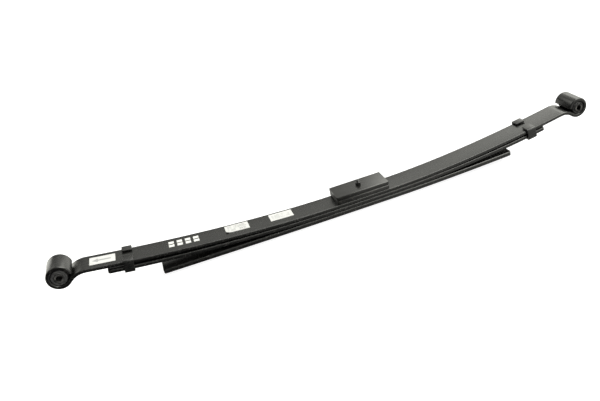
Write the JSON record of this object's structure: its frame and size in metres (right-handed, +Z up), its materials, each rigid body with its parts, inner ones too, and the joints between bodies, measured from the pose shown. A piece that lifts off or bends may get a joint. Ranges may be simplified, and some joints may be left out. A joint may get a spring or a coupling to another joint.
{
  "type": "leaf spring",
  "caption": "Semi-elliptic leaf spring with bushed eyes, a helper leaf under the pack, rebound clips and spacer plates on the seat.",
  "frame": {"origin": "on the centre bolt's axis, in the underside of the overload leaf where the axle pad sits", "axes": "+X along the spring towards the rear eye, +Y across the leaves, +Z up from the axle pad towards the spacer plates"},
  "size_m": [1.409, 0.0744, 0.1211],
  "materials": {
    "leaf_paint": "semi-gloss black paint over rolled spring steel",
    "plate_paint": "semi-gloss black paint on sheared plate",
    "fastener_paint": "black paint over a zinc plated bolt",
    "clip_paint": "semi-gloss black paint on bent strap",
    "shell_steel": "dark phosphated steel tube",
    "sleeve_steel": "oiled steel tube with a serrated face",
    "bush_rubber": "matt moulded rubber",
    "pad_plastic": "dark moulded nylon",
    "label_paper": "white coated paper with faint grey print"
  },
  "bodies": {
    "pack": {"main_leaf": "leaf_paint", "second_leaf": "leaf_paint", "overload_leaf": "leaf_paint", "lower_spacer_plate": "plate_paint", "upper_spacer_plate": "plate_paint", "centre_bolt": "fastener_paint", "centre_nut": "fastener_paint", "part_label": "label_paper", "date_label": "label_paper"},
    "front_limb": {"front_bush_shell": "shell_steel", "front_bush_rubber": "bush_rubber", "front_clip": "clip_paint", "front_clip_rivet": "clip_paint", "front_tip_pad": "pad_plastic", "direction_label": "label_paper"},
    "rear_limb": {"rear_bush_shell": "shell_steel", "rear_bush_rubber": "bush_rubber", "rear_clip": "clip_paint", "rear_clip_rivet": "clip_paint", "rear_tip_pad": "pad_plastic"},
    "front_sleeve": {"front_bush_sleeve": "sleeve_steel"},
    "rear_sleeve": {"rear_bush_sleeve": "sleeve_steel"}
  },
  "joints": [
    {"name": "front_flex", "type": "hinge", "parent": "pack", "child": "front_limb", "pos_m": [-0.19, 0, 0.03], "axis": [0, 1, 0], "range_deg": [-3.5, 1], "stiffness_Nm_per_rad": 5000, "deforming": ["main_leaf", "part_label", "date_label"]},
    {"name": "rear_flex", "type": "hinge", "parent": "pack", "child": "rear_limb", "pos_m": [0.155, 0, 0.03], "axis": [0, 1, 0], "range_deg": [-1, 3], "stiffness_Nm_per_rad": 5000, "deforming": ["second_leaf"]},
    {"name": "front_bush_twist", "type": "hinge", "parent": "front_limb", "child": "front_sleeve", "pos_m": [-0.744, 0, 0.08407], "axis": [0, 1, 0], "range_deg": [-12, 12], "stiffness_Nm_per_rad": 60},
    {"name": "rear_bush_twist", "type": "hinge", "parent": "rear_limb", "child": "rear_sleeve", "pos_m": [0.609, 0, 0.08188], "axis": [0, 1, 0], "range_deg": [-20, 20], "stiffness_Nm_per_rad": 40}
  ],
  "couplings": [
    {"joint": "rear_flex", "follows": "front_flex", "ratio": -0.8}
  ]
}
